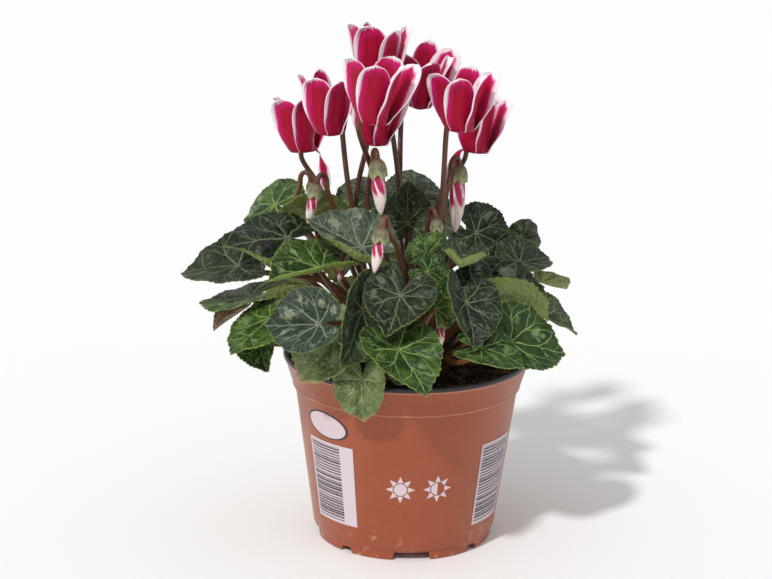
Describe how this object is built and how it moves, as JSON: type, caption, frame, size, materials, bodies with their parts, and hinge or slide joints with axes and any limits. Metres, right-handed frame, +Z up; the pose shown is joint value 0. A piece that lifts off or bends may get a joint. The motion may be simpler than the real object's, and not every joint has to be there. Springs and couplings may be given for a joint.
{
  "type": "potted cyclamen",
  "caption": "flowering cyclamen in a two-tone plastic nursery pot, heart-shaped silver-veined leaves, magenta flowers with white petal margins and nodding buds",
  "frame": {"origin": "centre of the flat spot under the pot, on the pot's axis, in the plane that the foot ring stands on", "axes": "+Z up, -Y towards the front of the picture, +X to its right"},
  "size_m": [0.1848, 0.1732, 0.2395],
  "materials": {
    "pot": "satin terracotta-coloured polypropylene, black on the inside",
    "soil": "loose dark peat with short fibres",
    "stem": "matte reddish-brown stalks with fine hairs",
    "leaf": "waxy dark green with silver marbling and pale veins",
    "leaf_withered": "dry matte brown",
    "petal": "velvety magenta with feathered white margins",
    "bud": "velvety, white at the tip and magenta at the cup"
  },
  "bodies": {
    "root": {"pot": "pot", "soil": "soil", "crown": "stem", "leaf_01": "leaf", "leaf_02": "leaf", "leaf_03": "leaf", "leaf_04": "leaf", "leaf_05": "leaf", "leaf_06": "leaf", "leaf_07": "leaf", "leaf_08": "leaf", "leaf_09": "leaf", "leaf_10": "leaf", "leaf_11": "leaf", "leaf_12": "leaf", "leaf_13": "leaf", "leaf_14": "leaf", "leaf_15": "leaf", "leaf_16": "leaf", "leaf_17": "leaf", "leaf_18": "leaf", "leaf_19": "leaf", "leaf_20": "leaf", "leaf_21": "leaf", "leaf_22": "leaf", "leaf_23": "leaf", "leaf_24": "leaf", "leaf_25": "leaf", "leaf_26": "leaf", "leaf_27": "leaf", "leaf_28": "leaf", "leaf_29": "leaf", "leaf_30": "leaf", "leaf_31": "leaf", "leaf_32": "leaf_withered", "leaf_33": "leaf", "leaf_34": "leaf", "leaf_35": "leaf", "leaf_36": "leaf", "leaf_37": "leaf", "leaf_38": "leaf", "leaf_39": "leaf", "leaf_40": "leaf", "leaf_41": "leaf", "bloom_1": "petal", "bloom_2": "petal", "bloom_3": "petal", "bloom_4": "petal", "bloom_5": "petal", "bloom_6": "petal", "bloom_7": "petal", "bloom_8": "petal", "bud_1": "bud", "bud_2": "bud", "bud_3": "bud", "bud_4": "bud", "bud_5": "bud", "bud_6": "bud", "bud_7": "bud", "bud_8": "bud"}
  },
  "joints": []
}
